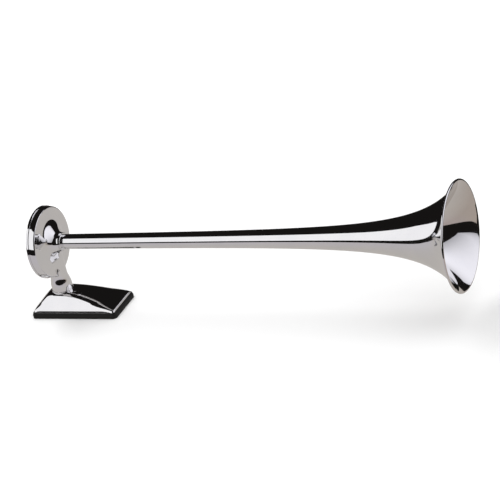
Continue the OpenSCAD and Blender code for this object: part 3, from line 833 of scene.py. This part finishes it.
def back_cover():
    """Domed cover with a rounded rim and a recess for the diaphragm stack. Its heights run rearward."""
    shares = [i / DOME_POINTS for i in range(DOME_POINTS + 1)]
    outer_r, inner_r = arc_radius(2 * DOME_R, DOME_RISE), arc_radius(2 * CHAMBER_R, DOME_RISE)
    top = COVER_RIM + DOME_RISE
    section = [(COVER_R, 0.0)]
    section += rounded_edge(COVER_R - COVER_EDGE_R, COVER_RIM - COVER_EDGE_R, COVER_EDGE_R, COVER_EDGE_POINTS)
    section += cap(top, outer_r, [DOME_R * (1 - share) for share in shares])
    section += cap(top - DOME_WALL, inner_r, [CHAMBER_R * share for share in shares])
    stack_r = CHAMBER_R + CLAMP_LAND
    section += [(CHAMBER_R, COVER_RECESS), (stack_r, COVER_RECESS), (stack_r, 0.0)]
    rearward = Matrix.Translation((FLANGE_X, 0, AXIS_Z)) @ Matrix.Rotation(-math.pi / 2, 4, "Y")
    obj = lathe("cover", section, DRUM_STEPS, rearward)
    hole_r, low, high = SCREW_R + SCREW_PLAY, FLANGE_X - COVER_RIM - PAST, FLANGE_X + PAST
    carve(obj, [rod(hole_r, low, high, place, SCREW_STEPS) for place in screw_places()])
    shade_by_angle(obj)
    stands_for(obj, "drum_cover", "horn", "chrome_plate", CHROME, "back_cover")


def ferrule():
    """Flanged sleeve that holds the tube in the neck."""
    flange_r = NECK_R - FERRULE_STEP
    end_x = NECK_END_X + FERRULE_FLANGE
    section = [(FERRULE_BORE_R, FERRULE_END_X), (FERRULE_R, FERRULE_END_X), (FERRULE_R, NECK_END_X),
               (flange_r, NECK_END_X)]
    centre_r, centre_x = flange_r - FERRULE_EDGE_R, end_x - FERRULE_EDGE_R
    section += rounded_edge(centre_r, centre_x, FERRULE_EDGE_R, FERRULE_EDGE_POINTS)
    section.append((FERRULE_BORE_R, end_x))
    obj = lathe("ferrule", section, FERRULE_STEPS, on_axis())
    shade_by_angle(obj)
    stands_for(obj, "neck_ferrule", "horn", "chrome_plate", CHROME, "ferrule")


back_cover()
ferrule()


# Studio, worked out from the photograph's reflections, in metres

HORN_MIDDLE = Vector((0.24, 0.0, 0.08))
DRUM_MIDDLE = Vector((0.0, 0.0, 0.09))
SURROUND_R = 6.0
LEFT_BOX_R = 5.4
RIGHT_BOX_R = 2.2
CARD_COLUMNS = 32

# Outlines of the cards, as rows of left azimuth, right azimuth and elevation in degrees
SURROUND = [(-180, 180, el) for el in (-89.9, -60, -30, -14, 0, 15, 30, 45, 60, 75, 89.9)]
LEFT_BOX = [(-112, -8, 4), (-100, -8, 20), (-90, -8, 35), (-60, -10, 52), (-52, -16, 57)]
RIGHT_BOX = [(90, 128, -2), (60, 144, 8), (57, 147, 20), (56, 148, 32), (58, 146, 44), (66, 138, 56)]

# The table's straight left edge as X, and its right edge as rows of Y and X
TABLE_LEFT = -0.9
TABLE_RIGHT = [(-0.43, 0.64), (0.03, 0.86), (0.07, 0.66), (0.16, 0.62), (0.3, 0.5), (0.42, 0.44)]
TABLE_Z = 0.0002

FLOOR_HALF = 12


def only_in_reflections(obj):
    obj.visible_camera = False
    obj.visible_diffuse = False
    obj.visible_shadow = False
    obj.visible_transmission = False
    obj.visible_volume_scatter = False


def glow(name, colour, strength):
    """Light of one colour, scaled over the card by its own falloff."""
    tree = Tree(name)
    falloff = tree.add("Attribute", attribute_name="falloff").outputs["Fac"]
    level = tree.add("Math", {0: falloff, 1: strength}, operation="MULTIPLY").outputs[0]
    return tree.surface("Emission", {"Color": (*colour, 1), "Strength": level})


def direction(azimuth, elevation):
    """Azimuth 0 is toward the camera's side, -Y, and 90 is toward the bell, +X."""
    turn, rise = math.radians(azimuth), math.radians(elevation)
    return Vector((math.sin(turn) * math.cos(rise), -math.cos(turn) * math.cos(rise), math.sin(rise)))


def falloff_at(share, edges, hot):
    """Light at a share of the way across a card, 1 at its hot place and less toward its two edges."""
    edge, reach = (edges[1], 1 - hot) if share > hot else (edges[0], hot)
    return 1 - (1 - edge) * ((share - hot) / reach) ** 2


def card(name, outline, centre, radius, material, edges=(1.0, 1.0), hot=0.5):
    """Panel on a sphere round a centre, which only reflections show."""
    verts, faces, falloff = [], [], []
    for left, right, elevation in outline:
        for i in range(CARD_COLUMNS + 1):
            share = i / CARD_COLUMNS
            verts.append(centre + radius * direction(left + (right - left) * share, elevation))
            falloff.append(falloff_at(share, edges, hot))
    for row in range(len(outline) - 1):
        for i in range(CARD_COLUMNS):
            corner = row * (CARD_COLUMNS + 1) + i
            faces.append((corner, corner + 1, corner + CARD_COLUMNS + 2, corner + CARD_COLUMNS + 1))
    obj = mesh_object(name, verts, faces)
    obj.data.attributes.new("falloff", "FLOAT", "POINT").data.foreach_set("value", falloff)
    dress(obj, material)
    only_in_reflections(obj)


def pale_floor():
    corners = [(-FLOOR_HALF, -FLOOR_HALF, 0), (FLOOR_HALF, -FLOOR_HALF, 0),
               (FLOOR_HALF, FLOOR_HALF, 0), (-FLOOR_HALF, FLOOR_HALF, 0)]
    floor = mesh_object("floor", corners, [(0, 1, 2, 3)])
    dress(floor, Tree("pale_floor").surface("BsdfDiffuse", {"Color": (0.93, 0.93, 0.93, 1)}))
    floor.visible_glossy = False


def table_reflection_card():
    """Card under the horn that only reflections show. Its glow is painted light of a lit table, browner and
    darker toward the bell and cooler toward the camera.
    """
    corners = [(x, y, TABLE_Z) for y, right in TABLE_RIGHT for x in (TABLE_LEFT, right)]
    strips = [(i, i + 1, i + 3, i + 2) for i in range(0, len(corners) - 2, 2)]
    table = mesh_object("table_reflection_card", corners, strips)
    tree = Tree("table_painted_light")
    place = tree.add("SeparateXYZ", {0: tree.coords()}).outputs
    along = tree.remap(place["X"], (0.05, 0.62))
    # Painted table light: the glow dims and browns toward the bell end
    table_light_colour = tree.ramp(along, [(0.0, (0.535, 0.51, 0.495)), (0.72, (0.52, 0.49, 0.465)),
                              (1.0, (0.42, 0.362, 0.32))])
    near = tree.remap(place["Y"], (-0.02, -0.16))
    cool = tree.add("MixRGB", {"Fac": near, "Color1": (1, 1, 1, 1), "Color2": (1.0, 1.0, 1.08, 1)})
    tinted = tree.add("MixRGB", {"Fac": 1.0, "Color1": table_light_colour, "Color2": cool.outputs["Color"]},
                      blend_type="MULTIPLY")
    dress(table, tree.surface("Emission", {"Color": tinted.outputs["Color"]}))
    only_in_reflections(table)


def white_world():
    """Even white light. The plated pieces reflect the dark surround in its place."""
    world = bpy.data.worlds.new("studio")
    bpy.context.scene.world = world
    world.use_nodes = True
    background = world.node_tree.nodes["Background"]
    background.inputs["Color"].default_value = (1, 1, 1, 1)
    background.inputs["Strength"].default_value = 1.0


def key_light():
    """Large soft light from above and behind, for the faint shadow under the horn."""
    light = bpy.data.lights.new("key", "AREA")
    light.shape = "DISK"
    light.size = 1.6
    light.energy = 20
    obj = bpy.data.objects.new("key", light)
    obj.location = (-0.9, 0.9, 2.2)
    obj.rotation_mode = "QUATERNION"
    obj.rotation_quaternion = (HORN_MIDDLE - obj.location).to_track_quat("-Z", "Y")
    obj.visible_glossy = False
    bpy.context.scene.collection.objects.link(obj)


def fitted_camera():
    """Camera fitted to the photograph's outlines."""
    data = bpy.data.cameras.new("camera")
    data.sensor_width = 36.0
    data.lens = 145.79
    data.clip_end = 100.0
    camera = bpy.data.objects.new("camera", data)
    camera.location = (1.2241, -1.86073, 1.09953)
    camera.rotation_euler = [math.radians(angle) for angle in (63.437645, 12.223552, 21.788391)]
    bpy.context.scene.collection.objects.link(camera)
    bpy.context.scene.camera = camera
    bpy.context.scene.view_settings.view_transform = "Standard"


card("dark_surround", SURROUND, HORN_MIDDLE, SURROUND_R, glow("studio_dark", (1.0, 0.90, 0.86), 0.009))
card("left_softbox", LEFT_BOX, HORN_MIDDLE, LEFT_BOX_R, glow("softbox_left", (0.98, 0.975, 1.0), 1.05))
card("right_softbox", RIGHT_BOX, DRUM_MIDDLE, RIGHT_BOX_R, glow("softbox_right", (0.94, 0.93, 1.0), 1.1),
     edges=(0.45, 0.7), hot=0.75)
pale_floor()
table_reflection_card()
white_world()
key_light()
fitted_camera()

bpy.context.view_layer.update()
